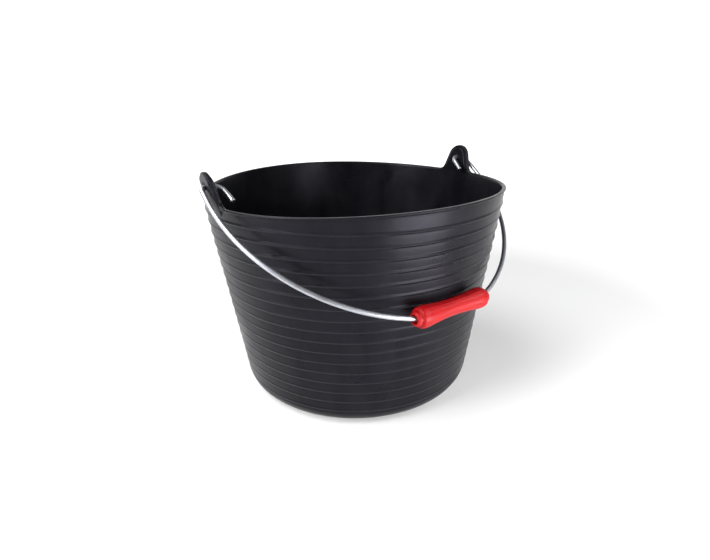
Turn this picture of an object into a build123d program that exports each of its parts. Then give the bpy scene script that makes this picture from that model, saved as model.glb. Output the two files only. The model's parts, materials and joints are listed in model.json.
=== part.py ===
from build123d import *
from math import asin, atan, atan2, cos, degrees, radians, sin, sqrt, tan
import os

# A moulded builder's bucket with two ears, a hooked wire bail and a turning hand grip.
# Millimetres. The origin is the middle of the underside, +Z is up, the ears stand on the X axis
# and the bail hangs over the front of the wall, towards -Y.

# Body: wall, floor and rim
rim_height = 214.2  # mean height of the rim
rim_rise = 2.5  # the rim is this much higher at front and back, and lower at the ears
foot_radius = 124.5  # outer face of the wall, carried straight down to the floor
wall_top_radius = 154.2  # outer face of the wall at the mean rim height
wall_gauge = 3.2  # measured level
floor_gauge = 4.0
foot_round = 18.0  # outside, where wall and floor meet
floor_round = 14.0  # inside, where wall and floor meet
lip_height = 2.2
lip_proud = 0.8

# Raised rings round the outside of the wall, from the top ring down to the rounded foot
top_ring_drop = 14.2  # from the mean rim height to the top ring
ring_pitch = 11.4
ring_above = 1.9  # from the crest's middle to the foot of the long upper flank
ring_below = 1.4  # from the crest's middle to the foot of the short lower flank
ring_crest = 0.3
ring_proud = 0.6
ring_foot_gap = 0.5  # least plain wall between the lowest ring and the rounded foot

# Ears: tongues of the wall above the rim, each with a boss round its hole
pivot_rise = 16.3  # from the rim at the ears to the line through both holes
ear_radius = 15.0  # round top of the ear
ear_drop = 2.0  # from the hole line down to the middle of the round top
ear_taper = 20.0  # degrees that each flank of the ear leans out
ear_flare = 10.0  # hollow curve from the ear into the rim
boss_inset = 1.3  # plate left showing round the boss
boss_gauge = 2.2  # boss in front of the wall, at the hole
boss_lean = 2.5  # degrees that the boss face leans out
boss_foot_gap = 2.2  # wall between the boss and the top ring
boss_corner = 4.0
boss_run = 9.5  # from the hole line down to where the boss face runs back towards the wall
boss_step = 0.35  # what is left of the boss at its foot
pad_gauge = 2.0  # what the ear is thicker by on its inside
hole_clearance = 0.85  # all round the wire
dish_radius = 6.4  # dish round the mouth of the hole
dish_depth = 1.8

# Bail: one length of wire
wire_diameter = 4.5
bail_room = 27.4  # the bail is this much deeper than the rim's radius, so that the grip passes the rim
leg_length = 15.2  # straight leg below the hole line
leg_clearance = 0.45  # between a leg and the top of the boss
leg_bend = 5.0  # bend radii are to the middle of the wire
hook_run = 3.2  # straight wire from the outside of the wall to the hook's bend
hook_bend = 11.0
hook_turn = 78.0  # degrees that the hook is bent, so that its tail opens inwards
tail_length = 13.3  # from the hook's bend to the cut end
kink_bend = 8.0  # bend at each end of the grip

# Grip: a moulded sleeve that turns on the straight middle of the wire
grip_length = 86.0
waist_radius = 7.75
swell_radius = 9.8
swell_inset = 10.6  # from the grip's end to the thickest place
swell_curve = 30.0  # radius of the swelling's outline
nose_length = 4.4
nose_step = 2.35  # from the shoulder down to the nose
nose_round = 2.0
shoulder_round = 2.2
bore_clearance = 0.3
mouth_room = 1.75  # round the wire in the wide mouth of the bore, where it bends away
mouth_depth = 5.2
bend_margin = 0.3  # straight wire past the narrow bore
rest_gap = 0.3  # between the grip's waist and the rings that it rests against

# Sizes that follow from those above
wire_radius = wire_diameter / 2
wall_slope = (wall_top_radius - foot_radius) / rim_height
wall_tilt = atan(wall_slope)
rim_radius = wall_top_radius + lip_proud
foot_top = foot_round * (1 - sin(wall_tilt))
top_ring_height = rim_height - top_ring_drop
lowest_ring_height = foot_top + ring_foot_gap + ring_below
ring_count = 1 + int((top_ring_height - lowest_ring_height) / ring_pitch)
pivot_height = rim_height - rim_rise + pivot_rise
boss_radius = ear_radius - boss_inset
hole_radius = wire_radius + hole_clearance
ear_middle = pivot_height - ear_drop
ear_top = ear_middle + ear_radius
bail_depth = rim_radius + bail_room
mouth_radius = wire_radius + mouth_room
spare = 10.0  # how far cutting tools pass the body
pick = 0.01  # corners this close to a height or a length are picked for rounding
reach = rim_radius + boss_gauge + spare


def wall_radius(height):
    """Outer radius of the plain wall at a height"""
    return foot_radius + wall_slope * height


def rim_line(x):
    """Height of the rim over a place on the X axis"""
    return rim_height + rim_rise - 2 * rim_rise * (x / rim_radius) ** 2


def flank_width(height):
    """Half width of an ear's straight flanks at a height"""
    return ear_radius / cos(radians(ear_taper)) + (ear_middle - height) * tan(radians(ear_taper))


def boss_width(rise):
    """Half width of a boss at a rise over the hole line, beside the ear's flanks"""
    return boss_radius / cos(radians(ear_taper)) - (rise + ear_drop) * tan(radians(ear_taper))


def crowned_edge(drop):
    """Curve of the rim in side view, lowered by drop, from -X to +X"""
    ThreePointArc(
        (-reach, rim_line(reach) - drop),
        (0, rim_line(0) - drop),
        (reach, rim_line(reach) - drop),
    )


boss_face = wall_radius(pivot_height) + boss_gauge
leg_offset = boss_face + (boss_radius - ear_drop) * tan(radians(boss_lean)) + leg_clearance + wire_radius
hook_start = wall_radius(pivot_height) - hook_run
hole_end = wall_radius(pivot_height) - wall_gauge - pad_gauge - spare

# The bow of the bail is tangent to the leg and to the bend at the grip
half_straight = grip_length / 2 - mouth_depth + bend_margin
bow_drop = bail_depth - kink_bend - leg_length
bow_run = leg_offset - kink_bend - half_straight
kink_angle = 90 - 2 * degrees(atan2(bow_run, bow_drop))
bow_radius = bow_drop / cos(radians(kink_angle)) + kink_bend

# The bail leans until the waist of the grip lies against the rings
rest_reach = wall_radius(pivot_height) + ring_proud + (waist_radius + rest_gap) / cos(wall_tilt)
rest_angle = asin(rest_reach * cos(wall_tilt) / bail_depth) - wall_tilt
print(f"{ring_count} rings, the lowest at {top_ring_height - (ring_count - 1) * ring_pitch:.1f}")
print(f"bail rests {degrees(rest_angle):.2f} degrees from straight down")
print(f"bail swings {360 - 2 * degrees(rest_angle):.2f} degrees from front to back")
print(f"bow radius {bow_radius:.1f}, bend at the grip {kink_angle:.1f} degrees, leg at {leg_offset:.2f}")

os.makedirs("parts", exist_ok=True)

# What is cut away above the rim: all but the two ears
with BuildPart() as above_rim:
    with BuildSketch(Plane.XZ):
        with BuildLine():
            crowned_edge(0)
            Polyline(
                (reach, rim_line(reach)),
                (reach, ear_top + spare),
                (-reach, ear_top + spare),
                (-reach, rim_line(reach)),
            )
        make_face()
    extrude(amount=reach, both=True)
    flare_end = flank_width(rim_line(rim_radius)) + ear_flare * tan(radians(90 - ear_taper) / 2)
    flare_height = rim_line(sqrt(rim_radius**2 - flare_end**2))
    flank_top = ear_middle + ear_radius * sin(radians(ear_taper))
    with BuildSketch(Plane.YZ) as ear_outline:
        with Locations((0, ear_middle)):
            Circle(ear_radius)
        with BuildLine():
            Polyline(
                (-flank_width(flank_top), flank_top),
                (flank_width(flank_top), flank_top),
                (flank_width(flare_height), flare_height),
                (-flank_width(flare_height), flare_height),
                close=True,
            )
        make_face()
        with Locations((0, flare_height)):
            Rectangle(2 * (flare_end + spare), spare, align=(Align.CENTER, Align.MAX))
        rim_corners = ear_outline.vertices().filter_by_position(
            Axis.Y, flare_height - pick, flare_height + pick
        )
        fillet(rim_corners.sort_by(lambda corner: abs(corner.X))[:2], ear_flare)
    extrude(amount=reach, both=True, mode=Mode.SUBTRACT)

# What is cut away below the lip
with BuildPart() as below_lip:
    with BuildSketch(Plane.XZ):
        with BuildLine():
            crowned_edge(lip_height)
            Polyline(
                (reach, rim_line(reach) - lip_height),
                (reach, 0),
                (-reach, 0),
                (-reach, rim_line(reach) - lip_height),
            )
        make_face()
    extrude(amount=reach, both=True)

# The lip and the thicker plate of the ears: a skin outside the wall
with BuildPart() as lip:
    lip_foot = rim_line(rim_radius) - lip_height - spare
    with BuildSketch(Plane.XZ):
        with BuildLine():
            Polyline(
                (wall_radius(lip_foot) - wall_gauge / 2, lip_foot),
                (wall_radius(lip_foot) + lip_proud, lip_foot),
                (wall_radius(ear_top + spare) + lip_proud, ear_top + spare),
                (wall_radius(ear_top + spare) - wall_gauge / 2, ear_top + spare),
                close=True,
            )
        make_face()
    revolve(axis=Axis.Z)
    add(above_rim.part, mode=Mode.SUBTRACT)
    add(below_lip.part, mode=Mode.SUBTRACT)

# One boss: a pad on both sides of the ear, as wide as the ear lets it be, that runs out into the wall
with BuildPart() as boss:
    boss_normal = (cos(radians(boss_lean)), 0, -sin(radians(boss_lean)))
    boss_foot = top_ring_height + ring_above + boss_foot_gap
    boss_drop = (pivot_height - boss_foot) / cos(radians(boss_lean))
    pad_top = boss_radius * sin(radians(ear_taper)) - ear_drop
    with BuildSketch(Plane(origin=(boss_face, 0, pivot_height), x_dir=(0, 1, 0), z_dir=boss_normal)) as pad:
        with Locations((0, -ear_drop)):
            Circle(boss_radius)
        with BuildLine():
            Polyline(
                (-boss_width(pad_top), pad_top),
                (boss_width(pad_top), pad_top),
                (boss_width(-boss_drop), -boss_drop),
                (-boss_width(-boss_drop), -boss_drop),
                close=True,
            )
        make_face()
        fillet(pad.vertices().group_by(Axis.Y)[0], boss_corner)
    extrude(amount=-(boss_gauge + spare))
    run_face = boss_face - boss_run * tan(radians(boss_lean))
    with BuildSketch(Plane.XZ):
        with BuildLine():
            Polyline(
                (run_face, pivot_height - boss_run),
                (wall_radius(boss_foot) + boss_step, boss_foot),
                (wall_radius(boss_foot) + boss_step, boss_foot - spare),
                (reach, boss_foot - spare),
                (reach, pivot_height - boss_run),
                close=True,
            )
        make_face()
    extrude(amount=reach, both=True, mode=Mode.SUBTRACT)
    boss_back = wall_gauge + pad_gauge
    with BuildSketch(Plane.XZ):
        with BuildLine():
            Polyline(
                (0, 0),
                (wall_radius(0) - wall_gauge / 2, 0),
                (wall_radius(boss_foot) - wall_gauge / 2, boss_foot),
                (wall_radius(pivot_height - boss_run) - boss_back, pivot_height - boss_run),
                (wall_radius(ear_top + spare) - boss_back, ear_top + spare),
                (0, ear_top + spare),
                close=True,
            )
        make_face()
    revolve(axis=Axis.Z, mode=Mode.SUBTRACT)

# Both ear holes, each with a dish at its outer mouth
with BuildPart() as ear_holes:
    dish_taper = (dish_radius - hole_radius) / dish_depth
    with BuildSketch(Plane.XZ):
        with BuildLine():
            Polyline(
                (hole_end, pivot_height),
                (hole_end, pivot_height + hole_radius),
                (boss_face - dish_depth, pivot_height + hole_radius),
                (boss_face + dish_depth, pivot_height + dish_radius + dish_taper * dish_depth),
                (boss_face + dish_depth, pivot_height),
                close=True,
            )
        make_face()
    revolve(axis=Axis((0, 0, pivot_height), (1, 0, 0)))
    mirror(about=Plane.YZ)

# The body: wall and floor in one turned section, then rim, lip, ears and holes
with BuildPart() as body:
    wall_line = []
    for ring in reversed(range(ring_count)):
        middle = top_ring_height - ring * ring_pitch
        for height, proud in (
            (middle - ring_below, 0),
            (middle - ring_crest / 2, ring_proud),
            (middle + ring_crest / 2, ring_proud),
            (middle + ring_above, 0),
        ):
            wall_line.append((wall_radius(height) + proud, height))
    with BuildSketch(Plane.XZ) as section:
        with BuildLine():
            Polyline(
                (0, 0),
                (foot_radius, 0),
                *wall_line,
                (wall_radius(ear_top + spare), ear_top + spare),
                (wall_radius(ear_top + spare) - wall_gauge, ear_top + spare),
                (wall_radius(floor_gauge) - wall_gauge, floor_gauge),
                (0, floor_gauge),
                close=True,
            )
        make_face()
        foot_corner = section.vertices().group_by(Axis.Y)[0].sort_by(Axis.X)[-1]
        fillet(foot_corner, foot_round)
        floor_corner = section.vertices().filter_by_position(
            Axis.Y, floor_gauge - pick, floor_gauge + pick
        ).sort_by(Axis.X)[-1]
        fillet(floor_corner, floor_round)
    revolve(axis=Axis.Z)
    add(above_rim.part, mode=Mode.SUBTRACT)
    add(lip.part)
    add(boss.part)
    mirror(boss.part, about=Plane.YZ)
    add(ear_holes.part, mode=Mode.SUBTRACT)
body.part.label = "bucket_body"

# The bail lies in one plane through the hole line: local x is along X, local y is down the bail
bail_down = Vector(0, -sin(rest_angle), -cos(rest_angle))
bail_plane = Plane(origin=(0, 0, pivot_height), x_dir=(1, 0, 0), z_dir=Vector(1, 0, 0).cross(bail_down))

with BuildPart() as bail:
    with BuildLine(bail_plane) as half_wire:
        middle_run = Line((0, bail_depth), (half_straight, bail_depth))
        kink = JernArc(middle_run @ 1, middle_run % 1, kink_bend, -kink_angle)
        bow = JernArc(kink @ 1, kink % 1, bow_radius, kink_angle - 90)
        leg = Line(bow @ 1, (leg_offset, leg_bend))
        elbow = JernArc(leg @ 1, leg % 1, leg_bend, -90)
        pin = Line(elbow @ 1, (hook_start, 0))
        hook = JernArc(pin @ 1, pin % 1, hook_bend, -hook_turn)
        tail = PolarLine(hook @ 1, tail_length, direction=hook % 1)
    with BuildSketch(Plane(origin=half_wire.line @ 0, z_dir=half_wire.line % 0)):
        Circle(wire_radius)
    sweep(path=half_wire.line)
    mirror(about=Plane.YZ)
bail.part.label = "bail_wire"

# The grip is turned about the wire's straight middle: local x is along the wire
grip_middle = bail_plane.from_local_coords((0, bail_depth, 0))
print(f"grip turns about X at y {grip_middle.Y:.4f}, z {grip_middle.Z:.4f}")
grip_plane = Plane(origin=grip_middle, x_dir=(1, 0, 0), z_dir=bail_plane.z_dir)
half_grip = grip_length / 2
swell_place = half_grip - swell_inset
swell_rise = swell_radius - waist_radius
waist_curve = (swell_place**2 + swell_rise**2) / (2 * swell_rise) - swell_curve
waist_end = swell_place * waist_curve / (waist_curve + swell_curve)
shoulder = half_grip - nose_length


def waist_outline(x):
    """Radius of the hollow between the two swellings"""
    return waist_radius + waist_curve - sqrt(waist_curve**2 - x**2)


def swell_outline(x):
    """Radius of a swelling, x from the grip's middle"""
    return swell_radius - swell_curve + sqrt(swell_curve**2 - (x - swell_place) ** 2)


nose_radius = swell_outline(shoulder) - nose_step
print(f"nose radius {nose_radius:.3f}, mouth radius {mouth_radius:.3f}")

with BuildPart() as grip:
    with BuildSketch(grip_plane) as grip_section:
        with BuildLine():
            ThreePointArc(
                (0, waist_radius),
                (waist_end / 2, waist_outline(waist_end / 2)),
                (waist_end, waist_outline(waist_end)),
            )
            ThreePointArc(
                (waist_end, waist_outline(waist_end)),
                (swell_place, swell_radius),
                (shoulder, swell_outline(shoulder)),
            )
            Polyline(
                (shoulder, swell_outline(shoulder)),
                (shoulder, nose_radius),
                (half_grip, nose_radius),
                (half_grip, mouth_radius),
                (half_grip - mouth_depth, mouth_radius),
                (half_grip - mouth_depth, wire_radius + bore_clearance),
                (0, wire_radius + bore_clearance),
                (0, waist_radius),
            )
        make_face()
        end_corners = grip_section.vertices().group_by(Axis.X)[-1]
        fillet(end_corners.sort_by(Axis.Y)[-1], nose_round)
        shoulder_corners = grip_section.vertices().filter_by_position(
            Axis.X, shoulder - pick, shoulder + pick
        )
        fillet(shoulder_corners.sort_by(Axis.Y)[-1], shoulder_round)
    revolve(axis=Axis(grip_middle, (1, 0, 0)))
    mirror(about=Plane.YZ)
grip.part.label = "hand_grip"

for piece in (body, bail, grip):
    export_step(piece.part, f"parts/{piece.part.label}.step")
    print(f"{piece.part.label}: {len(piece.part.solids())} solid, {piece.part.volume / 1000:.1f} cm3")
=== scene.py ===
# %% [markdown]
# This bucket comes apart into three pieces: a black moulded body, a bail bent from one wire, and a
# red grip that turns on the wire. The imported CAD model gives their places, sizes and joints. It is
# loaded first and never moved. Its box is kept, so that the finished pieces can be held against it.

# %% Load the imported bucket
import json
import math

import bmesh
import bpy
import numpy as np
from mathutils import Matrix, Vector


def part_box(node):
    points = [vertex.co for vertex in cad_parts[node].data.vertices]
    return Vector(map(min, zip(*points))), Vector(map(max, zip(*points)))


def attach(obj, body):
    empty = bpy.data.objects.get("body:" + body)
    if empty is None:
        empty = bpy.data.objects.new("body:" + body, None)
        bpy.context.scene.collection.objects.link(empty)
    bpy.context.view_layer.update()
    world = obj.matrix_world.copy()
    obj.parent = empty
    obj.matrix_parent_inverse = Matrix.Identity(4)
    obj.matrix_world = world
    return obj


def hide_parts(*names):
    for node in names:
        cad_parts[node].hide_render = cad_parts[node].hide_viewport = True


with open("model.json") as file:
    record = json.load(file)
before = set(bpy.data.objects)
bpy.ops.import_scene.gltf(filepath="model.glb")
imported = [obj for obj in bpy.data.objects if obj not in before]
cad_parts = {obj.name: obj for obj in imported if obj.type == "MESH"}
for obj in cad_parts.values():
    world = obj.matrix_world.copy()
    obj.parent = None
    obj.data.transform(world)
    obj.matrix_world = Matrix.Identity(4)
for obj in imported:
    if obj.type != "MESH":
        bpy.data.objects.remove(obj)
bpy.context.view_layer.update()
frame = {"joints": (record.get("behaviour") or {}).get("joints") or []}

joints = {joint["name"]: joint for joint in frame["joints"]}

# %% [markdown]
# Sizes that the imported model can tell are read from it, such as the hinge line and the tops of the
# ears. The others are the sizes of the body's mould. Blender works in metres and a mould maker in
# millimetres, so one value named mm turns the one into the other. Details bring their own sizes.

# %% Main sizes of the body
mm = 0.001
pivot_height = joints["bail_swing"]["pos_m"][2]
ear_drop = 2.0 * mm
ear_middle = pivot_height - ear_drop
ear_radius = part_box("bucket_body")[1].z - ear_middle
rim_height = 214.2 * mm
rim_rise = 2.5 * mm
foot_radius = 124.5 * mm
wall_top_radius = 154.2 * mm
wall_gauge = 3.2 * mm

wall_slope = (wall_top_radius - foot_radius) / rim_height
wall_tilt = math.atan(wall_slope)
print(f"hinge line {pivot_height / mm:.1f} mm up, ear radius {ear_radius / mm:.2f} mm")

# %% [markdown]
# Every new piece is a set of sheets. A sheet is a grid of points, rows by columns, worked out as one
# numpy array. Sheets that share an edge have the same points there, so merging doubles closes the
# skin. A number per point, how exposed it is to rubbing, goes along as an attribute for the finishes.

# %% Sheets to meshes
merge_reach = 0.002 * mm
sliver_length = 0.001 * mm


def stacked(*arrays):
    """Arrays set beside each other on a new last axis, such as the coordinates of points."""
    return np.stack(np.broadcast_arrays(*arrays), -1)


def add_object(name, data):
    """A new object in the scene."""
    thing = bpy.data.objects.new(name, data)
    bpy.context.scene.collection.objects.link(thing)
    return thing


def grid_faces(rows, columns, closed):
    """Corner numbers of a grid's faces: each joins two neighbours of one row to two of the next."""
    row = np.arange(rows - 1)[:, None] * columns
    column = np.arange(columns if closed else columns - 1)[None, :]
    beside = (column + 1) % columns
    corners = [row + column, row + beside, row + columns + beside, row + columns + column]
    return stacked(*corners).reshape(-1, 4)


def make_piece(name, sheets):
    """One smooth closed mesh from sheets of (points, rubbed, closed): doubles merged, faces outwards."""
    points, rubbed, faces, first = [], [], [], 0
    for sheet_points, sheet_rubbed, closed in sheets:
        rows, columns = sheet_points.shape[:2]
        points.append(sheet_points.reshape(-1, 3))
        rubbed.append(np.broadcast_to(sheet_rubbed, (rows, columns)).ravel())
        faces.append(grid_faces(rows, columns, closed) + first)
        first += rows * columns
    mesh = bpy.data.meshes.new(name)
    mesh.from_pydata(np.concatenate(points), [], np.concatenate(faces).tolist())
    layer = mesh.attributes.new("rubbed", "FLOAT", "POINT")
    layer.data.foreach_set("value", np.concatenate(rubbed).astype(np.float32))
    skin = bmesh.new()
    skin.from_mesh(mesh)
    bmesh.ops.remove_doubles(skin, verts=skin.verts, dist=merge_reach)
    bmesh.ops.dissolve_degenerate(skin, edges=skin.edges, dist=sliver_length)
    bmesh.ops.recalc_face_normals(skin, faces=skin.faces)
    open_edges = sum(not edge.is_manifold for edge in skin.edges)
    skin.to_mesh(mesh)
    skin.free()
    mesh.shade_smooth()
    triangles = sum(len(face.vertices) - 2 for face in mesh.polygons)
    print(f"{name}: {triangles} triangles, {open_edges} open edges")
    return add_object(name, mesh)


# %% [markdown]
# The wall is a cone, so a point of the body is given by an angle round the axis, a height, and how
# far it stands proud of the plain cone. The rim is a saddle: a little lower at the two ears than at
# front and back. A real rubber wall is never quite true, so slow waves of about a tenth of a
# millimetre run through it, and they break up the sheen as on the real bucket.

# %% The wall as a cone
smooth_foot = 40.0 * mm
wave_depth = 0.11 * mm
wave_kinds = [(1.0, 3, 31, 0.0), (1.0, 5, -23, 1.0), (0.7, 9, 17, 2.1), (0.5, 14, -11, 0.4)]


def smooth_step(share):
    """0 below 0, 1 above 1, and 3 share^2 - 2 share^3 between."""
    share = np.clip(share, 0, 1)
    return share * share * (3 - 2 * share)


def wall_radius(height):
    """Outer radius of the plain wall: the foot's radius plus slope times height."""
    return foot_radius + wall_slope * height


def rim_line(angle):
    """Height of the rim: the mean height, plus the rise, less twice the rise times cosine squared."""
    return rim_height + rim_rise - 2 * rim_rise * np.cos(angle) ** 2


def waves(angle, height):
    """Unevenness of the wall: a sum of sines that fades out at the foot. Each kind of wave has its share,
    its count round the wall, the rise in millimetres that shifts it by one radian, and its start."""
    up = height / mm
    total = sum(share * np.sin(count * angle + up / rise + start) for share, count, rise, start in wave_kinds)
    return wave_depth * total * smooth_step(height / smooth_foot)


def on_wall(angle, height, proud):
    """A point of the body: wall radius plus proud plus waves, turned by the angle, at the height."""
    radius = wall_radius(height) + proud + waves(angle, height)
    return stacked(radius * np.cos(angle), radius * np.sin(angle), height)


print(f"wall leans {math.degrees(wall_tilt):.2f} degrees, waves of {wave_depth / mm:.2f} mm")

# %% [markdown]
# An ear is a tongue of the wall: a round top, two flanks that lean outwards, and a hollow flare into
# the rim. Its outline is drawn on the wall as arcs and a line, in distance across and height. Mirrored
# and joined to the rim on both sides, it gives one closed edge line round the whole mouth.

# %% The edge line of rim and ears
ear_taper = math.radians(20)
ear_flare = 10.0 * mm
ear_border = 2.0 * mm
across_radius = wall_radius(pivot_height)
top_steps, flank_steps, flare_steps, border_steps = 18, 8, 20, 2
side_steps, ear_steps = 80, 48


def flank(height, radius):
    """Half width between straight flanks below a round top of a radius: it grows with the taper's tangent."""
    return radius / math.cos(ear_taper) + (ear_middle - height) * math.tan(ear_taper)


ear_foot = rim_height - rim_rise
flare_end = flank(ear_foot, ear_radius) + ear_flare * math.tan((math.pi / 2 - ear_taper) / 2)
flare_height = rim_line(flare_end / across_radius)
flare_middle = np.array([flare_end, flare_height + ear_flare])
border = flare_end + ear_border


def arc(middle, radius, start, end, steps):
    """Points on a circle from the start angle to the end angle."""
    turn = np.linspace(start, end, steps + 1)
    return stacked(middle[0] + radius * np.cos(turn), middle[1] + radius * np.sin(turn))


def line(start, end, steps):
    """Points on a straight line."""
    return np.linspace(start, end, steps + 1)


def mirrored(values, sign):
    """A half line from the middle outwards becomes a whole one, from one end to the other."""
    return np.concatenate([values[:0:-1] * sign, values])


top_arc = arc((0, ear_middle), ear_radius, math.pi / 2, ear_taper, top_steps)
flare_arc = arc(flare_middle, ear_flare, -math.pi + ear_taper, -math.pi / 2, flare_steps)
flank_line = line(top_arc[-1], flare_arc[0], flank_steps)
border_across = np.linspace(flare_end, border, border_steps + 1)
border_line = stacked(border_across, rim_line(border_across / across_radius))
half_ear = np.concatenate([top_arc[:-1], flank_line[:-1], flare_arc[:-1], border_line])
whole_ear = mirrored(half_ear, [-1, 1])

ear_half_angle = border / across_radius
ear_angles = np.linspace(-ear_half_angle, ear_half_angle, ear_steps + 1)
side_angles = np.linspace(ear_half_angle, math.pi - ear_half_angle, side_steps + 1)
half_edge_angle = np.concatenate([whole_ear[:-1, 0] / across_radius, side_angles[:-1]])
half_edge_height = np.concatenate([whole_ear[:-1, 1], rim_line(side_angles[:-1])])
edge_angle = np.concatenate([half_edge_angle, half_edge_angle + math.pi])
edge_height = np.tile(half_edge_height, 2)
print(f"edge line of {len(edge_angle)} points, ears {2 * border / mm:.1f} mm wide at the foot")

# %% [markdown]
# The edge itself is the wall's thickness, rounded on both sides. A mould leaves a soft edge where a
# hand or a load passes, so along the rim the inner rounding is the wider one. Up the ears both go over
# to a small one. A profile of inset and proud is carried along the edge line, square to it, so the
# edge keeps its form round the ears.

# %% The rounded edge
round_steps = 5
lip_proud = 0.8 * mm
rim_outer_round = 1.3 * mm
rim_inner_round = 2.4 * mm
ear_round = 0.8 * mm
ear_round_run = 6.0 * mm


def edge_normals(angle, height):
    """Unit direction into the wall at each point of the closed edge line, from its two neighbours."""
    turn = np.roll(angle, -1) - np.roll(angle, 1)
    along = ((turn + math.pi) % (2 * math.pi) - math.pi) * across_radius
    rise = np.roll(height, -1) - np.roll(height, 1)
    length = np.hypot(along, rise)
    return rise / length, -along / length


normal_across, normal_up = edge_normals(edge_angle, edge_height)
quarter = np.linspace(0, math.pi / 2, round_steps + 1)[:, None]
quarter_inset, quarter_fall = 1 - np.sin(quarter), 1 - np.cos(quarter)
on_ear = smooth_step((edge_height - ear_foot) / ear_round_run)
outer_round = rim_outer_round + (ear_round - rim_outer_round) * on_ear
inner_round = rim_inner_round + (ear_round - rim_inner_round) * on_ear
edge_inset = np.concatenate([outer_round * quarter_inset, inner_round * quarter_inset[::-1]])
outer_proud = lip_proud - outer_round * quarter_fall
inner_proud = -wall_gauge + inner_round * quarter_fall[::-1]
edge_proud = np.concatenate([outer_proud, inner_proud])
band_angle = edge_angle + normal_across * edge_inset / across_radius
band_height = edge_height + normal_up * edge_inset
edge_rubbed = np.concatenate([np.sin(quarter), np.sin(quarter[::-1])])
body_sheets = [(on_wall(band_angle, band_height, edge_proud), edge_rubbed, True)]
print(f"edge band of {len(edge_inset)} rows")

# %% [markdown]
# Below the rim, the outside turns once round the axis: underside, rounded foot, and wall with its
# rings. A ring has a long flank above its crest and a steeper one below, which ends in a shallow groove
# that runs back into the wall. The upper flank mirrors the light and the lower one the dark floor and
# wall, so a ring shows as a bright line over a dark one. The rings stand prouder towards the rim.

# %% Foot, wall and rings
foot_round = 18.0 * mm
foot_gap = 0.2 * mm
upper_foot = 202.6 * mm
ring_count = 17
top_ring_height = 200.0 * mm
ring_pitch = 11.4 * mm
ring_proud = 0.74 * mm
ring_above = 2.0 * mm
ring_below = 1.6 * mm
ring_groove = 0.2 * mm
ring_run = 3.5 * mm
ring_soft = 0.1 * mm
lowest_share, share_gain = 0.6, 0.8
ring_places = np.array([-5.1, -3.4, -2.2, -1.6, -1.0, -0.3, 0, 0.25, 1.0, 2.0, 2.4]) * mm
corner_steps, flat_steps = 10, 8
foot_middle = wall_radius(foot_round) - foot_round / math.cos(wall_tilt)
column_angles = np.concatenate([ear_angles[:-1], side_angles[:-1]])
column_angles = np.concatenate([column_angles, column_angles + math.pi])


def turned(radius, height):
    """A section turned about Z: radius and height per row, the column angles per column, with waves."""
    radius, height = radius[:, None], height[:, None]
    radius = radius + waves(column_angles, height) * (radius > foot_middle)
    return stacked(radius * np.cos(column_angles), radius * np.sin(column_angles), height)


def lower_of(one, other, soft):
    """Smooth minimum: half of the sum less the root of the difference squared plus soft squared."""
    return (one + other - np.sqrt((one - other) ** 2 + soft**2)) / 2


def ring_outline(place):
    """How proud a ring is, by the distance above its crest: the smooth minimum of two straight flanks, and
    where that is lower, the wall above or, below, a groove that comes back as the square of its run."""
    upper = ring_proud * (1 - place / ring_above)
    lower = ring_proud + (ring_proud + ring_groove) * place / ring_below
    flanks = lower_of(upper, lower, ring_soft)
    groove = ring_groove * np.clip(1 + (place + ring_below) / ring_run, 0, 1) ** 2
    return np.maximum(flanks, np.where(place < 0, -groove, 0))


ring_middles = top_ring_height - ring_pitch * np.arange(ring_count)[::-1]
foot_arc = arc((foot_middle, foot_round), foot_round, -math.pi / 2, -wall_tilt, corner_steps)
underside = line((0, 0), foot_arc[0], flat_steps)
ring_heights = (ring_middles[:, None] + ring_places).ravel()
ring_shares = lowest_share + share_gain * np.linspace(0, 1, ring_count) ** 2
ring_bead = (ring_shares[:, None] * ring_outline(ring_places)).ravel()
clear = ring_heights > foot_arc[-1, 1] + foot_gap
outer_heights = np.append(ring_heights[clear], upper_foot)
outer_bead = np.append(ring_bead[clear], 0)
outer_wall = stacked(wall_radius(outer_heights) + outer_bead, outer_heights)
outer_section = np.concatenate([underside[:-1], foot_arc, outer_wall])
unrubbed = np.zeros(len(underside) - 1 + len(foot_arc))
outer_rubbed = np.concatenate([unrubbed, np.clip(outer_bead / ring_proud, 0, 1)])[:, None]
body_sheets.append((turned(*outer_section.T), outer_rubbed, True))
print(f"{ring_count} rings, {len(outer_section)} rows, {len(column_angles)} columns")

# %% [markdown]
# The inside is turned the same way and uses the same columns: a plain wall, so that a load slides out,
# a rounded corner that can be scraped clean, and a flat floor.

# %% Inside wall and floor
floor_gauge = 4.0 * mm
floor_round = 14.0 * mm
inside_rows = 14
floor_middle_height = floor_gauge + floor_round
floor_middle = wall_radius(floor_middle_height) - wall_gauge - floor_round / math.cos(wall_tilt)
floor_arc = arc((floor_middle, floor_middle_height), floor_round, -wall_tilt, -math.pi / 2, corner_steps)
floor_line = line(floor_arc[-1], (0, floor_gauge), flat_steps)
inner_heights = np.linspace(upper_foot, floor_arc[0, 1], inside_rows)
inner_wall = stacked(wall_radius(inner_heights) - wall_gauge, inner_heights)
inner_section = np.concatenate([inner_wall[:-1], floor_arc, floor_line[1:]])
body_sheets.append((turned(*inner_section.T), 0, True))
print(f"inside of {len(inner_section)} rows")

# %% [markdown]
# Between the top ring and the rim, away from the ears, the columns simply go on upwards. Outside, they
# pass a fine groove and then the small step of the lip over it, which together give the dark line that
# runs under the rim. The groove runs out before it reaches an ear. Inside they are plain.

# %% The lip between the ears
lip_height = 2.2 * mm
lip_step = 1.6 * mm
lip_groove = 0.25 * mm
lip_run = 3.0 * mm
lip_places = np.array([-3.8, -2.6, -1.7, -1.2, -0.85, -0.6, -0.4, -0.2, 0, 0.2, 0.4, 0.6, 0.8]) * mm
groove_end = math.radians(5)


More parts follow.
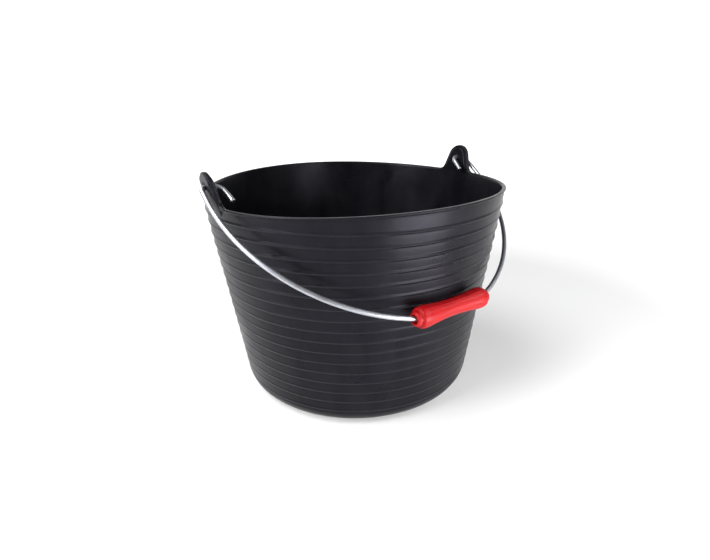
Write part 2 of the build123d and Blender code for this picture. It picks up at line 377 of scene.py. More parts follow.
def lip_skin(angle, height):
    """The lip rises by a smooth step from a groove under it. The groove comes back to the wall as the square
    of its run, and fades at the ears."""
    above = height - rim_line(angle) + lip_height
    from_ear = np.abs((angle + math.pi / 2) % math.pi - math.pi / 2)
    groove = lip_groove * smooth_step((from_ear - ear_half_angle) / groove_end)
    run_back = np.clip(1 + (above + lip_step / 2) / lip_run, 0, 1) ** 2
    return (lip_proud + groove) * smooth_step(above / lip_step + 0.5) - groove * run_back


def upper_columns(foot_angle, top_angle, top_height, heights):
    """Angles for rows of columns that lean evenly from the foot angle to the top angle."""
    share = (heights - upper_foot) / (top_height - upper_foot)
    return foot_angle + (top_angle - foot_angle) * share


side_columns = len(whole_ear) - 1 + np.arange(side_steps + 1)
top_angle, top_height = band_angle[0, side_columns], band_height[0, side_columns]
lip_foot = rim_line(side_angles) - lip_height
lip_rows = lip_foot + lip_places[:, None]
lip_low, lip_high = lip_rows[0], lip_rows[-1]
side_heights = np.stack(
    [
        np.full_like(lip_foot, upper_foot),
        (upper_foot + lip_low) / 2,
        *lip_rows,
        (lip_high + top_height) / 2,
        top_height,
    ]
)
side_outer_angles = upper_columns(side_angles, top_angle, top_height, side_heights)
side_outer_proud = lip_skin(side_outer_angles, side_heights)

inside_top_angle, inside_top_height = band_angle[-1, side_columns], band_height[-1, side_columns]
inside_share = np.linspace(0, 1, len(side_heights))[:, None]
inside_heights = upper_foot + (inside_top_height - upper_foot) * inside_share
side_inner_angles = upper_columns(side_angles, inside_top_angle, inside_top_height, inside_heights)
for half_turn in (0, math.pi):
    outside = on_wall(side_outer_angles + half_turn, side_heights, side_outer_proud)
    inside = on_wall(side_inner_angles + half_turn, inside_heights, -wall_gauge)
    body_sheets.append((outside, 0, False))
    body_sheets.append((inside, 0, False))
print(f"lip of {len(side_heights)} rows and {side_steps + 1} columns on each side")

# %% [markdown]
# The skin of an ear ends on the columns below it, the rows beside it and the edge line above it. These
# make one closed border, on the outside and again on the inside, so the ear closes onto the rest.

# %% Border of an ear
ear_columns = np.arange(len(whole_ear))
bottom_border = stacked(across_radius * ear_angles, upper_foot)


def loop(bottom, right, top):
    """Closed border: along the bottom, up the right side, over the top and down the mirrored right side."""
    left = right[::-1] * [-1, 1]
    return np.concatenate([bottom, right[1:], top[1:], left[1:-1]])


def ear_border_loop(row, angles, heights):
    """The border on one face of the wall, from the edge band's row there and a side column's places."""
    top = stacked(across_radius * band_angle[row, ear_columns], band_height[row, ear_columns])
    return loop(bottom_border, stacked(across_radius * angles, heights), top[::-1])


outer_border = ear_border_loop(0, side_outer_angles[:, 0], side_heights[:, 0])
inner_border = ear_border_loop(-1, side_inner_angles[:, 0], inside_heights[:, 0])
print(f"ear border of {len(outer_border)} points")

# %% [markdown]
# An ear carries a boss, a pad that is round above the hole, flares as the ear does, and has two round
# corners at its foot. A plain grid can't follow a hole, so here the grid runs round it: every column
# starts at the hole, crosses the edge of the boss at a matched point, and ends on the ear's border.

# %% Outline of a boss, matched to the border
boss_inset = 1.3 * mm
boss_radius = ear_radius - boss_inset
boss_foot = 204.1 * mm
boss_corner = 4.0 * mm
corner_height = boss_foot + boss_corner
corner_split = -0.6
fine_steps = 30
match_rise = 8.0 * mm
fall_weight, length_weight = 0.9, 0.1
corner_across = flank(corner_height, boss_radius) - boss_corner / math.cos(ear_taper)


def boss_side(height):
    """Half width of the boss at a height: along the flank, or along the arc of the bottom corner."""
    rise = np.clip(height - corner_height, -boss_corner, boss_corner)
    rounded = corner_across + np.sqrt(boss_corner**2 - rise**2)
    return np.where(rise < boss_corner * math.sin(ear_taper), rounded, flank(height, boss_radius))


def length_along(points):
    """Distance of each point from the first, along a line of points."""
    return np.append(0, np.cumsum(np.hypot(*np.diff(points, axis=0).T)))


def resample(points, count):
    """Evenly spaced points along a line of points."""
    length = length_along(points)
    even = np.linspace(0, length[-1], count)
    return stacked(*(np.interp(even, length, coordinate) for coordinate in points.T))


right_corner = arc((corner_across, corner_height), boss_corner, -math.pi / 2, corner_split, fine_steps)
boss_lower = resample(np.concatenate([right_corner[::-1] * [-1, 1], right_corner]), ear_steps + 1)
side_height = side_heights[:, 0]
risen = np.clip((side_height - upper_foot) / match_rise, 0, 1)
level = rim_line(boss_radius / across_radius) - rim_line(ear_half_angle)
matched_height = side_height + (boss_lower[-1, 1] - upper_foot) * (1 - risen) + level * risen
boss_right = stacked(boss_side(matched_height), matched_height)

boss_arc = arc((0, ear_middle), boss_radius, math.pi / 2, ear_taper, top_steps)
lower_edge = half_ear[top_steps:]
lower_length = length_along(lower_edge)
fallen = (lower_edge[0, 1] - lower_edge[:, 1]) / (lower_edge[0, 1] - lower_edge[-1, 1])
flank_share = fall_weight * fallen + length_weight * lower_length / lower_length[-1]
flank_height = boss_arc[-1, 1] + (matched_height[-1] - boss_arc[-1, 1]) * flank_share
boss_flank = stacked(flank(flank_height, boss_radius), flank_height)
boss_half = np.concatenate([boss_arc[:-1], boss_flank])
boss_top = mirrored(boss_half, [-1, 1])[::-1]
boss_loop = loop(boss_lower, boss_right, boss_top)
print(f"boss outline of {len(boss_loop)} points")

# %% [markdown]
# The boss face stands almost upright while the wall leans out. Below the hole it runs back on a slope,
# until little of the boss is left at its foot, and it is bellied there: lower towards its flanks. The
# dish round the hole is a shallow cone. A smooth minimum joins face, slope and dish with soft edges.

# %% Face and dish of a boss
boss_gauge = 2.2 * mm
boss_face = wall_radius(pivot_height) + boss_gauge
boss_lean = math.tan(math.radians(2.5))
boss_run = 9.5 * mm
boss_step = 0.35 * mm
run_soft = 0.8 * mm
boss_ease = 10.0 * mm
boss_belly, belly_start = 0.62, 0.7
hole_radius = 3.1 * mm
dish_radius = 4.8 * mm
dish_depth = 0.9 * mm
dish_soft = 0.3 * mm


def boss_proud(points):
    """Proud of the boss: the lowest of its leaning face, the slope it runs out on and the dish's cone, less
    the wall's radius, and below the hole less a belly's share of the square of the place across."""
    across, height = points[..., 0], points[..., 1]
    from_hole = np.hypot(across, height - pivot_height)
    face = boss_face + (height - pivot_height) * boss_lean
    run_top, run_foot = boss_face - boss_run * boss_lean, wall_radius(boss_foot) + boss_step
    slope = run_foot + (run_top - run_foot) * (height - boss_foot) / (pivot_height - boss_run - boss_foot)
    dish = boss_face - dish_depth + (from_hole - hole_radius) * dish_depth / (dish_radius - hole_radius)
    lower = lower_of(lower_of(face, slope, run_soft), dish, dish_soft)
    belly = boss_belly * smooth_step((pivot_height - height) / boss_ease + belly_start)
    share = np.clip(across / flank(np.minimum(height, pivot_height), boss_radius), -1, 1)
    return (lower / np.cos(across / across_radius) - wall_radius(height)) * (1 - belly * share**2)


def plate_proud(points):
    """Proud of the ear's plate and of the wall below it: the lip's skin."""
    return lip_skin(points[..., 0] / across_radius, points[..., 1])


boss_rise = boss_proud(boss_loop) - plate_proud(boss_loop)
print(f"boss {boss_rise.min() / mm:.2f} to {boss_rise.max() / mm:.2f} mm over the plate at its edge")

# %% [markdown]
# Rows go outwards from the hole: dish, face, the round edge of the boss, a small fillet at its foot, and
# the plate of the ear out to the border. Below the hole the edge is eased, wider than it is deep, and
# where the boss rises little, its rounding and its fillet shrink with it.

# %% Rows over the outside of an ear
boss_round = 1.2 * mm
boss_run_in = 3.0 * mm
boss_fillet = 0.3 * mm
ease_start = 0.5
round_limit, fillet_limit = 0.8, 0.2
face_steps, plate_steps = 8, 15
hole_middle = np.array([0, pivot_height])


def unit(vectors):
    """Vectors scaled to length one."""
    return vectors / np.linalg.norm(vectors, axis=-1, keepdims=True)


def between(start, end, steps):
    """Rows of points that go in even steps from one line of points, which is left out, to another."""
    return start + (end - start) * np.linspace(0, 1, steps + 1)[1:, None, None]


def rounded_edge(outline, run, fillet):
    """Rows over an edge: the round comes out by run times sine, then the fillet by 1 - cosine."""
    round_rows = outline - boss_outward * run[:, None] * quarter_inset[1:, :, None]
    fillet_rows = outline + boss_outward * fillet[:, None] * quarter_fall[:, :, None]
    return round_rows, fillet_rows


along_boss = unit(np.roll(boss_loop, -1, 0) - np.roll(boss_loop, 1, 0))
boss_outward = stacked(along_boss[:, 1], -along_boss[:, 0])
from_hole = unit(boss_loop - hole_middle)
eased = 1 + smooth_step((pivot_height - boss_loop[:, 1]) / boss_ease + ease_start)
top_round = np.minimum(boss_round * eased, round_limit * boss_rise)
top_run = np.minimum(top_round * eased, boss_run_in)
foot_fillet = np.minimum(boss_fillet, fillet_limit * boss_rise)

dish_rings = np.array([3.1, 3.6, 4.1, 4.5, 4.8, 5.2, 6.0, 7.2]) * mm
dish_rows = hole_middle + from_hole * dish_rings[:, None, None]
face_end = boss_loop - boss_outward * top_run[:, None]
face_rows = between(dish_rows[-1], face_end, face_steps)
round_rows, fillet_rows = rounded_edge(boss_loop, top_run, foot_fillet)
plate_rows = between(fillet_rows[-1], outer_border, plate_steps)

face_proud = boss_proud(np.concatenate([dish_rows, face_rows]))
round_proud = boss_proud(round_rows) - top_round * quarter_fall[1:]
fillet_proud = plate_proud(fillet_rows) + foot_fillet * quarter_inset
ear_rows = np.concatenate([dish_rows, face_rows, round_rows, fillet_rows, plate_rows])
ear_proud = np.concatenate([face_proud, round_proud, fillet_proud, plate_proud(plate_rows)])
ear_rubbed = np.zeros((len(ear_rows), 1))
ear_rubbed[len(face_proud) : len(face_proud) + round_steps] = np.sin(quarter[1:])
print(f"ear of {len(ear_rows)} rows outside")

# %% [markdown]
# Inside, the ear has a pad of the same outline, set in a little and broadly rounded, which runs out
# into the wall. The hole has a rounded mouth there, and a straight bore joins it to the dish outside.
# Both ears are the same skin, turned by half a turn.

# %% The inside of an ear, its bore, and both ears
pad_gauge = 2.0 * mm
pad_least = 0.05 * mm
pad_round = 1.4 * mm
pad_inset = 1.2 * mm
pad_round_limit, pad_fillet_limit = 0.7, 0.3
hole_round = 0.5 * mm
pad_steps, bore_rows = 9, 4


def pad_depth(points):
    """How far the ear is thicker on its inside: the pad's gauge, or less on the slope it runs out on."""
    share = (points[..., 1] - boss_foot) / (pivot_height - boss_run - boss_foot)
    slope = share * (wall_gauge / 2 + pad_gauge) - wall_gauge / 2
    return np.maximum(lower_of(pad_gauge, slope, run_soft), pad_least)


pad_loop = boss_loop - boss_outward * pad_inset
pad_rise = pad_depth(pad_loop)
pad_top = np.minimum(pad_round, pad_round_limit * pad_rise)
pad_run = 2 * pad_top
pad_fillet = np.minimum(boss_fillet, pad_fillet_limit * pad_rise)
mouth_rows = hole_middle + from_hole * (hole_radius + hole_round * quarter_fall)[:, :, None]
pad_rows = between(mouth_rows[-1], pad_loop - boss_outward * pad_run[:, None], pad_steps)
pad_round_rows, pad_fillet_rows = rounded_edge(pad_loop, pad_run, pad_fillet)
back_rows = between(pad_fillet_rows[-1], inner_border, pad_steps)
mouth_proud = -pad_depth(mouth_rows) + hole_round * quarter_inset
pad_round_proud = -pad_depth(pad_round_rows) + pad_top * quarter_fall[1:]
pad_fillet_proud = -pad_fillet * quarter_inset
inner_rows = np.concatenate([mouth_rows, pad_rows, pad_round_rows, pad_fillet_rows, back_rows])
back_proud = np.zeros(back_rows.shape[:2])
inner_relief = [mouth_proud, -pad_depth(pad_rows), pad_round_proud, pad_fillet_proud, back_proud]
inner_skin = np.concatenate(inner_relief) - wall_gauge
bore_shares = np.linspace(0, 1, bore_rows)[:, None]
bore_proud = inner_skin[0] + (face_proud[0] - inner_skin[0]) * bore_shares
for half_turn in (0, math.pi):
    for rows, proud, rubbed in (
        (ear_rows, ear_proud, ear_rubbed),
        (np.repeat(dish_rows[:1], bore_rows, 0), bore_proud, 0),
        (inner_rows, inner_skin, 0),
    ):
        angles = rows[..., 0] / across_radius + half_turn
        body_sheets.append((on_wall(angles, rows[..., 1], proud), rubbed, True))
print(f"ear of {len(inner_rows)} rows inside, {len(body_sheets)} sheets in all")

# %% [markdown]
# All sheets together are the body. It stands for the CAD body, rides on the bucket, and takes its
# finish from the black rubber material further down.

# %% The body
bucket_shell = make_piece("bucket_shell", body_sheets)
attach(bucket_shell, "bucket")
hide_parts("bucket_body")

# %% [markdown]
# The bail is one wire, bent in one plane. A bender makes it by feeding wire and turning it, so the
# path is written the same way: a list of lengths and turns from the middle of the grip to the cut
# end. The big bow has the radius at which leg and grip line up, which two right triangles give.

# %% The path of the wire
wire_radius = 2.25 * mm
grip_place = np.array(joints["grip_spin"]["pos_m"])
bail_depth = math.hypot(grip_place[1], pivot_height - grip_place[2])
rest_angle = math.atan2(-grip_place[1], pivot_height - grip_place[2])
grip_low, grip_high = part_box("hand_grip")
grip_length = grip_high.x - grip_low.x
mouth_depth = 5.2 * mm
bend_margin = 0.3 * mm
half_straight = grip_length / 2 - mouth_depth + bend_margin
leg_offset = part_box("bail_wire")[1].x - wire_radius
leg_length = 15.2 * mm
leg_bend, kink_bend, hook_bend = 5.0 * mm, 8.0 * mm, 11.0 * mm
hook_run = 3.2 * mm
hook_start = wall_radius(pivot_height) - hook_run
hook_turn = math.radians(78)
tail_length = 13.3 * mm
bow_drop = bail_depth - kink_bend - leg_length
bow_run = leg_offset - kink_bend - half_straight
kink_turn = math.pi / 2 - 2 * math.atan2(bow_run, bow_drop)
bow_radius = bow_drop / math.cos(kink_turn) + kink_bend

bends = [
    (half_straight, 0, 12),
    (kink_bend * kink_turn, kink_turn, 8),
    (bow_radius * (math.pi / 2 - kink_turn), math.pi / 2 - kink_turn, 60),
    (leg_length - leg_bend, 0, 4),
    (leg_bend * math.pi / 2, math.pi / 2, 14),
    (leg_offset - leg_bend - hook_start, 0, 4),
    (hook_bend * hook_turn, hook_turn, 20),
    (tail_length, 0, 6),
]


def walk(moves):
    """Points and headings of a bent wire: within a move the heading turns evenly with the length, and
    each short step is the chord of its arc, its length times sin(half turn) / half turn."""
    steps = np.concatenate([np.full(count, length / count) for length, _, count in moves])
    turns = np.concatenate([np.full(count, turn / count) for _, turn, count in moves])
    heading = np.append(0, np.cumsum(turns))
    middle = (heading[1:] + heading[:-1]) / 2
    chord = steps * np.sinc(turns / 2 / math.pi)
    offsets = np.cumsum(chord[:, None] * stacked(np.cos(middle), np.sin(middle)), 0)
    length = np.append(0, np.cumsum(steps))
    return np.concatenate([[[0, 0]], offsets]), heading, length


half_path, half_heading, half_length = walk(bends)
print(f"wire {2 * half_length[-1] / mm:.0f} mm long, bow radius {bow_radius / mm:.1f} mm")

# %% [markdown]
# A circle carried along the path gives the wire. It could be a curve with a bevel, but as an array
# the same numbers that set the bends also place every point. The two cut ends close over a small
# chamfer, because a cropped end is never quite sharp.

# %% The wire
wire_sides = 28
end_chamfer = 0.45 * mm
end_shrink = 0.4
round_wire = np.linspace(0, 2 * math.pi, wire_sides, endpoint=False)
swing = np.array([0, -math.sin(rest_angle), -math.cos(rest_angle)])
across_bail = np.array([1.0, 0, 0])
bail_normal = np.cross(across_bail, swing)


def tube(points, headings, radii):
    """A circle of the given radius at each path point, in the plane square to the heading there."""
    centre = grip_place + points[:, :1] * across_bail - points[:, 1:] * swing
    side = np.sin(headings)[:, None] * across_bail + np.cos(headings)[:, None] * swing
    ring = np.cos(round_wire)[:, None] * side[:, None] + np.sin(round_wire)[:, None] * bail_normal
    return centre[:, None] + radii[:, None, None] * ring


end_radii = [wire_radius - end_chamfer, wire_radius * end_shrink, 0]
step_out = stacked(np.cos(half_heading[-1]), np.sin(half_heading[-1]))
body_end, cut_end = half_path[-1] - step_out * end_chamfer, half_path[-1]
half_points = np.concatenate([half_path[:-1], [body_end], [cut_end] * len(end_radii)])
half_headings = np.pad(half_heading, (0, len(end_radii)), "edge")
half_radii = np.append(np.full(len(half_path), wire_radius), end_radii)
wire = tube(mirrored(half_points, [-1, 1]), mirrored(half_headings, -1), mirrored(half_radii, 1))
bail_rod = make_piece("bail_rod", [(wire, 0, True)])
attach(bail_rod, "bail")
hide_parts("bail_wire")

# %% [markdown]
# The grip is turned about the wire: a hollow waist, a swelling near each end, a shoulder, a slim nose
# and a bore with wide mouths, where the wire bends away. All of that is one closed section, drawn for
# one half from arcs and lines, with a rounding at each edge, and then mirrored.

# %% Section of the grip
half_grip = grip_length / 2
waist_radius = 7.75 * mm
swell_radius = (grip_high.z - grip_low.z) / 2
swell_inset = 10.6 * mm
swell_place = half_grip - swell_inset
swell_curve = 30.0 * mm
nose_length = 4.4 * mm
nose_step = 2.35 * mm
nose_round = 2.0 * mm
shoulder_round = 2.2 * mm
crease_round = 0.5 * mm
mouth_round = 0.5 * mm
bore_clearance = 0.3 * mm
mouth_room = 1.75 * mm
body_rows, outer_steps, crease_steps, mouth_steps, seat_steps, bore_steps = 40, 8, 5, 4, 3, 6
bore_radius = wire_radius + bore_clearance
mouth_radius = wire_radius + mouth_room
swell_rise = swell_radius - waist_radius
waist_curve = (swell_place**2 + swell_rise**2) / (2 * swell_rise) - swell_curve
waist_end = swell_place * waist_curve / (waist_curve + swell_curve)
shoulder = half_grip - nose_length


def grip_radius(along):
    """Outline of the grip: a hollow arc to the waist's end, then the round arc of a swelling."""
    hollow = waist_radius + waist_curve - np.sqrt(waist_curve**2 - np.clip(along, 0, waist_end) ** 2)
    from_swell = np.maximum(along, waist_end) - swell_place
    swelling = swell_radius - swell_curve + np.sqrt(swell_curve**2 - from_swell**2)
    return np.where(along < waist_end, hollow, swelling)


shoulder_radius = float(grip_radius(np.array(shoulder)))
nose_radius = shoulder_radius - nose_step
body_along = np.linspace(0, shoulder - shoulder_round, body_rows)
body_outline = stacked(body_along, grip_radius(body_along))
shoulder_middle = (body_along[-1], body_outline[-1, 1] - shoulder_round)
shoulder_arc = arc(shoulder_middle, shoulder_round, math.pi / 2, 0, outer_steps)
crease_middle = (shoulder + crease_round, nose_radius + crease_round)
crease_arc = arc(crease_middle, crease_round, math.pi, 1.5 * math.pi, crease_steps)
nose_middle = (half_grip - nose_round, nose_radius - nose_round)
nose_arc = arc(nose_middle, nose_round, math.pi / 2, 0, outer_steps)
mouth_middle = (half_grip - mouth_round, mouth_radius + mouth_round)
mouth_arc = arc(mouth_middle, mouth_round, 0, -math.pi / 2, mouth_steps)
mouth_end = half_grip - mouth_depth
mouth_line = line((mouth_end, mouth_radius), (mouth_end, bore_radius), seat_steps)
bore_line = line((mouth_end, bore_radius), (0, bore_radius), bore_steps)
half_section = np.concatenate(
    [body_outline, shoulder_arc[1:], crease_arc, nose_arc, mouth_arc, mouth_line, bore_line[1:]]
)
outside_rows = len(body_outline) + len(shoulder_arc) - 1
half_share = np.arange(len(half_section)) < outside_rows
closed_section = np.concatenate([half_section, half_section[-2::-1] * [-1, 1]])
closed_share = np.concatenate([half_share, half_share[-2::-1]])
print(f"grip {grip_length / mm:.1f} mm long, {2 * waist_radius / mm:.1f} mm thick at the waist")

# %% [markdown]
# The mould's two halves leave a fine raised line along opposite sides of the grip. It is added to the
# radius as two narrow bells of the angle, with columns set close together where the line runs.

# %% The grip
seam_angle = math.radians(64)
seam_height = 0.16 * mm
seam_width = 0.35 * mm
seam_reach, seam_columns, column_room = 0.12, 13, 0.008
grip_columns = 72
even_turn = np.linspace(0, 2 * math.pi, grip_columns, endpoint=False)
seam_turns = np.linspace(-seam_reach, seam_reach, seam_columns)
near_seam = np.concatenate([seam_angle + side + seam_turns for side in (0, math.pi)])
apart = np.abs(np.sin((even_turn[:, None] - near_seam) / 2)).min(1) > column_room
grip_turn = np.sort(np.concatenate([even_turn[apart], near_seam % (2 * math.pi)]))


def grip_points(section, share, turn):
    """The section turned about the wire, from straight out at the front upwards; the seam's bell is
    its height times exp(-(arc length from the seam / its width)^2), on the outside rows only."""
    away = np.abs(np.sin(turn - seam_angle)) * section[:, 1:]
    radius = section[:, 1:] + share[:, None] * seam_height * np.exp(-((away / seam_width) ** 2))
    return grip_place + stacked(section[:, :1], -radius * np.cos(turn), radius * np.sin(turn))


grip_grid = grip_points(closed_section, closed_share, grip_turn)
grip_sleeve = make_piece("grip_sleeve", [(grip_grid, 0, True)])
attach(grip_sleeve, "grip")
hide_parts("hand_grip")

# %% [markdown]
# Finishes are node trees. A short helper adds a node, sets its plain values and links what comes from
# other nodes, so that each finish reads from top to bottom.

# %% Node helper


def add(tree, kind, values=None, **settings):
    """A new node: settings go on the node, values on its inputs, and a socket given as a value is linked."""
    node = tree.nodes.new(kind)
    for key, value in settings.items():
        setattr(node, key, value)
    for key, value in (values or {}).items():
        if isinstance(value, bpy.types.NodeSocket):
            tree.links.new(value, node.inputs[key])
        else:
            node.inputs[key].default_value = value
    return node


def new_material(name, values):
    """A material whose Principled shader has these plain values, its node tree, and Object coordinates."""
    material = bpy.data.materials.new(name)
    material.use_nodes = True
    tree = material.node_tree
    tree.nodes.clear()
    shader = add(tree, "ShaderNodeBsdfPrincipled", values)
    add(tree, "ShaderNodeOutputMaterial", {"Surface": shader.outputs["BSDF"]})
    return material, tree, add(tree, "ShaderNodeTexCoord").outputs["Object"]


def combined(tree, operation, one, other):
    """What a Math node makes of two values."""
    return add(tree, "ShaderNodeMath", {0: one, 1: other}, operation=operation).outputs["Value"]


def two_tones(tree, mask, low, low_tone, high, high_tone):
    """A colour that goes evenly from the low tone to the high tone as the mask goes from low to high."""
    ramp = add(tree, "ShaderNodeValToRGB", {"Fac": mask})
    for stop, place, tone in zip(ramp.color_ramp.elements, (low, high), (low_tone, high_tone)):
        stop.position, stop.color = place, (*tone, 1)
    return ramp.outputs["Color"]


def between_values(tree, mask, low, high, least, most):
    """A value that goes evenly from least to most as the mask goes from low to high."""
    span = {"Value": mask, "From Min": low, "From Max": high, "To Min": least, "To Max": most}
    return add(tree, "ShaderNodeMapRange", span).outputs["Result"]


def noise(tree, place, scale, **values):
    """The value of a noise texture at a place."""
    return add(tree, "ShaderNodeTexNoise", {"Vector": place, "Scale": scale, **values}).outputs["Fac"]


def bumped(tree, height, strength, distance, **values):
    """The normal of a surface that a height raises by a distance, as strongly as strength says."""
    values = {"Height": height, "Strength": strength, "Distance": distance, **values}
    return add(tree, "ShaderNodeBump", values).outputs["Normal"]


def dress(thing, material, sockets):
    """Puts a finish on an object: what changes over the surface goes to the shader's own sockets."""
    tree = material.node_tree
    for name, socket in sockets.items():
        tree.links.new(socket, tree.nodes["Principled BSDF"].inputs[name])
    thing.data.materials.append(material)
    print(material.name, "has", len(tree.nodes), "nodes")


# %% [markdown]
# Moulded rubber and moulded plastic share the fine grain of a worn mould: a small even texture in the
# height, and soft cloudy patches in gloss. That effect is one group with its own scale and patch size.

# %% Moulded grain, shared by body and grip
grain = bpy.data.node_groups.new("moulded_grain", "ShaderNodeTree")
for socket, default in (("Grain Scale", 900.0), ("Patch Scale", 30.0)):
    grain.interface.new_socket(socket, in_out="INPUT", socket_type="NodeSocketFloat").default_value = default
grain.interface.new_socket("Vector", in_out="INPUT", socket_type="NodeSocketVector")
for socket in ("Height", "Patches"):
    grain.interface.new_socket(socket, in_out="OUTPUT", socket_type="NodeSocketFloat")
grain_in = grain.nodes.new("NodeGroupInput").outputs
grain_out = grain.nodes.new("NodeGroupOutput").inputs
place, fine_scale, patch_scale = (grain_in[name] for name in ("Vector", "Grain Scale", "Patch Scale"))
fine = noise(grain, place, fine_scale, Detail=3.0, Roughness=0.6)
patches = noise(grain, place, patch_scale, Detail=4.0, Roughness=0.55, Distortion=0.4)
grain.links.new(fine, grain_out["Height"])
grain.links.new(patches, grain_out["Patches"])
print("group", grain.name, "puts out", [socket.name for socket in grain_out if socket.name])

# %% [markdown]
# The body is black rubber compound: a charcoal that is never quite even, with a soft sheen. Cloudy
# patches change tone and gloss, faint streaks run up the wall as the melt did, and rings and edges
# that rub on things are a little greyer.

# %% Black rubber
sheen = {"Specular IOR Level": 0.14, "Specular Tint": (0.86, 0.83, 1.0, 1)}
rubber, tree, where = new_material("black_rubber_moulded", sheen)
rubber_grain = {"Vector": where, "Grain Scale": 1100.0, "Patch Scale": 26.0}
texture = add(tree, "ShaderNodeGroup", rubber_grain, node_tree=grain).outputs
stretched = add(tree, "ShaderNodeMapping", {"Vector": where, "Scale": (60.0, 60.0, 5.0)}).outputs["Vector"]
streaks = noise(tree, stretched, 1.0, Detail=3.0)
rubbed = add(tree, "ShaderNodeAttribute", attribute_name="rubbed").outputs["Fac"]
worn = combined(tree, "MULTIPLY", rubbed, texture["Patches"])
clouded = {"Factor": 0.5, "A": texture["Patches"], "B": streaks}
tone = add(tree, "ShaderNodeMix", clouded, data_type="FLOAT").outputs["Result"]
charcoal = two_tones(tree, tone, 0.35, (0.004, 0.004, 0.0055), 0.65, (0.009, 0.009, 0.0115))
rubbed_grey = {"Factor": worn, "A": charcoal, "B": (0.02, 0.02, 0.025, 1)}
greyed = add(tree, "ShaderNodeMix", rubbed_grey, data_type="RGBA").outputs["Result"]
gloss = between_values(tree, texture["Patches"], 0.3, 0.7, 0.26, 0.38)
uneven = bumped(tree, texture["Patches"], 1.0, 0.6 * mm)
moulded = bumped(tree, texture["Height"], 0.12, 0.3 * mm, Normal=uneven)
dress(bucket_shell, rubber, {"Base Color": greyed, "Roughness": gloss, "Normal": moulded})

# %% [markdown]
# The wire is zinc-coated: bright metal with a faint cloudy spangle and dull spots. A fine noise makes
# the spangle, in gloss and as a slight ripple, and a larger one makes the clouds of lighter grey.

# %% Galvanised wire
zinc, tree, where = new_material("galvanised_wire_zinc", {"Metallic": 1.0})
spangle = noise(tree, where, 420.0, Detail=4.0, Roughness=0.6)
clouds = noise(tree, where, 60.0, Detail=3.0)
silver = two_tones(tree, clouds, 0.3, (0.42, 0.43, 0.47), 0.7, (0.51, 0.52, 0.56))
dulled = between_values(tree, spangle, 0.3, 0.7, 0.36, 0.46)
rippled = bumped(tree, spangle, 0.04, 0.1 * mm)
dress(bail_rod, zinc, {"Base Color": silver, "Roughness": dulled, "Normal": rippled})

# %% [markdown]
# The grip is red moulded plastic, semi-gloss, with the same mould grain as the body but finer.

# %% Red plastic
red, tree, where = new_material("red_plastic_moulded", {"Specular IOR Level": 0.28})
plastic_grain = {"Vector": where, "Grain Scale": 1500.0, "Patch Scale": 70.0}
texture = add(tree, "ShaderNodeGroup", plastic_grain, node_tree=grain).outputs
reds = two_tones(tree, texture["Patches"], 0.3, (0.365, 0.0026, 0.0052), 0.7, (0.43, 0.0042, 0.0068))
gloss = between_values(tree, texture["Patches"], 0.3, 0.7, 0.36, 0.48)
grained = bumped(tree, texture["Height"], 0.08, 0.2 * mm)
dress(grip_sleeve, red, {"Base Color": reds, "Roughness": gloss, "Normal": grained})

# %% [markdown]
# The camera stands where the photograph was taken from: front left, about 21 degrees up, half a metre
# from the bucket, with a wide lens. The picture is 710 pixels wide and 560 high, and the lens is given
# in pixels, so that it can be measured on the picture. A small shift puts the bucket in its place.

# %% Camera
view_azimuth = math.radians(-34.0)
view_elevation = math.radians(21.24)
view_roll = math.radians(-1.05)
view_distance = 545.0 * mm
view_target = Vector((0, 0, 107.1 * mm))
frame_width = 710
focal_pixels = 478.09
target_right, target_up = 0.36, 3.59
sensor_width = 36.0

level_back = Vector((math.sin(view_azimuth), -math.cos(view_azimuth), 0))
view_back = level_back * math.cos(view_elevation) + Vector((0, 0, math.sin(view_elevation)))
level_right = Vector((math.cos(view_azimuth), math.sin(view_azimuth), 0))
level_up = view_back.cross(level_right)
view_right = level_right * math.cos(view_roll) + level_up * math.sin(view_roll)
view_up = view_back.cross(view_right)
camera_data = bpy.data.cameras.new("camera")
camera_data.sensor_fit = "HORIZONTAL"
camera_data.sensor_width = sensor_width
camera_data.lens = focal_pixels * sensor_width / frame_width
camera_data.shift_x = -target_right / frame_width
camera_data.shift_y = -target_up / frame_width
camera_data.clip_start = 0.01
camera = add_object("camera", camera_data)
turn = Matrix((view_right, view_up, view_back)).transposed().to_4x4()
camera.matrix_world = Matrix.Translation(view_target + view_back * view_distance) @ turn
bpy.context.scene.camera = camera
print("camera at", [round(x / mm, 1) for x in camera.location])

# %% [markdown]
# The bucket stands on a studio sweep: a white floor that curves up into a backdrop behind. Floor and
# backdrop look white to the camera and in reflections, by the Light Path node, while the light stays
# at a plain level, so the floor still shows the shadow. The profile is carried sideways as one sheet.

# %% Floor sweep
sweep_front, sweep_back, sweep_round, sweep_top, sweep_half = 3.0, 2.2, 0.8, 1.8, 5.0
floor_white = 0.62
glow_start, glow_end = 0.45, 1.1
floor_glow, backdrop_glow = 0.32, 1.0


def seen_directly(tree):
    """1 for rays from the camera, from glossy reflections and through glass, and 0 for the others."""
    rays = tree.nodes.new("ShaderNodeLightPath").outputs
    seen = rays["Is Camera Ray"]
    for other in ("Is Glossy Ray", "Is Transmission Ray"):
        seen = combined(tree, "MAXIMUM", seen, rays[other])
    return seen


def sweep_points(profile, sideways, away, right):
    """A profile of distance away and height, carried sideways: away, plus sideways, plus straight up."""
    flat = profile[:, None, :1] * np.array(away) + sideways[None, :, None] * np.array(right)
    return flat + profile[:, None, 1:] * np.array([0, 0, 1.0])


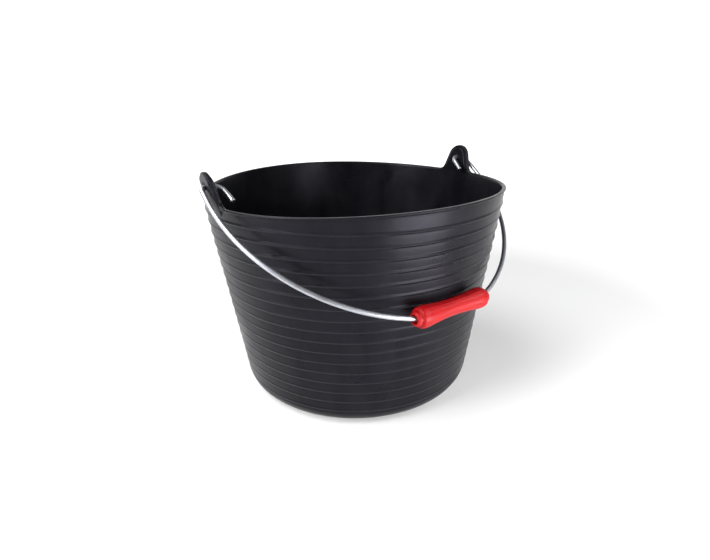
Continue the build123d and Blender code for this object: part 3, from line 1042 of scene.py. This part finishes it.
sweep_profile = np.concatenate(
    [
        line((-sweep_front, 0), (sweep_back, 0), 4),
        arc((sweep_back, sweep_round), sweep_round, -math.pi / 2, 0, 12)[1:],
        line((sweep_back + sweep_round, sweep_round), (sweep_back + sweep_round, sweep_top), 2)[1:],
    ]
)
sweep_grid = sweep_points(sweep_profile, np.linspace(-sweep_half, sweep_half, 3), -level_back, level_right)
floor_mesh = bpy.data.meshes.new("floor_sweep")
floor_mesh.from_pydata(sweep_grid.reshape(-1, 3), [], grid_faces(*sweep_grid.shape[:2], False).tolist())
floor_mesh.shade_smooth()
floor_sweep = add_object("floor_sweep", floor_mesh)
matt = {"Base Color": (floor_white, floor_white, floor_white, 1), "Roughness": 1.0, "Specular IOR Level": 0.0}
white, tree, where = new_material("white_sweep", {**matt, "Emission Color": (1, 1, 1, 1)})
far = add(tree, "ShaderNodeVectorMath", {0: where}, operation="LENGTH").outputs["Value"]
rising = between_values(tree, far, glow_start, glow_end, floor_glow, backdrop_glow)
dress(floor_sweep, white, {"Emission Strength": combined(tree, "MULTIPLY", seen_directly(tree), rising)})

# %% [markdown]
# The light is a dim even room, a broad soft sun from the upper left that throws the shadow, and soft
# panels, low and high, on the left and on the right of the camera. The sheen of the panels shows the
# form of the wall. One more panel faces down on the left, to keep the floor white there. Places are
# given from the camera's side, in degrees to the right and upwards.

# %% Surroundings and lamps
room_level = 0.15
world = bpy.data.worlds.new("room")
bpy.context.scene.world = world
world.use_nodes = True
tree = world.node_tree
tree.nodes.clear()
room = add(tree, "ShaderNodeBackground", {"Color": (1, 1, 1, 1), "Strength": room_level})
add(tree, "ShaderNodeOutputWorld", {"Surface": room.outputs["Background"]})


def direction(azimuth, elevation):
    """Unit direction from the bucket, by degrees to the right of the camera's side and upwards."""
    azimuth, elevation = math.radians(azimuth), math.radians(elevation)
    flat = level_back * math.cos(azimuth) + level_right * math.sin(azimuth)
    return flat * math.cos(elevation) + Vector((0, 0, math.sin(elevation)))


def aim(name, data, place, facing):
    """A lamp at a place, with its back to the facing direction, and not shown to the camera."""
    thing = add_object(name, data)
    thing.matrix_world = Matrix.Translation(place) @ facing.to_track_quat("Z", "Y").to_matrix().to_4x4()
    thing.visible_camera = False


def panel(name, azimuth, elevation, distance, width, height, power, facing=None):
    """A soft rectangular panel, turned to the bucket unless another direction is given for its back."""
    data = bpy.data.lights.new(name, "AREA")
    data.shape = "RECTANGLE"
    data.size, data.size_y, data.energy = width, height, power
    towards = direction(azimuth, elevation)
    aim(name, data, view_target + towards * distance, facing or towards)


sun = bpy.data.lights.new("soft_sun", "SUN")
sun.energy = 1.75
sun.angle = math.radians(40)
sun_side = direction(-85, 62)
aim("soft_sun", sun, 3.0 * sun_side, sun_side)
panel("floor_wash", -68, 40, 0.6, 0.4, 0.3, 1.7, Vector((0, 0, 1)))
panel("right_panel", 41, -4, 0.44, 0.28, 0.12, 1.1)
panel("soft_box", 42, 8, 1.2, 0.5, 0.35, 4.2)
panel("right_high", 72, 38, 1.2, 0.4, 0.4, 3.6)
panel("left_front", -52, 33, 1.2, 0.4, 0.4, 7.6)
panel("left_low", -58, 3, 1.2, 0.4, 0.3, 2.2)
bpy.context.scene.view_settings.view_transform = "Standard"
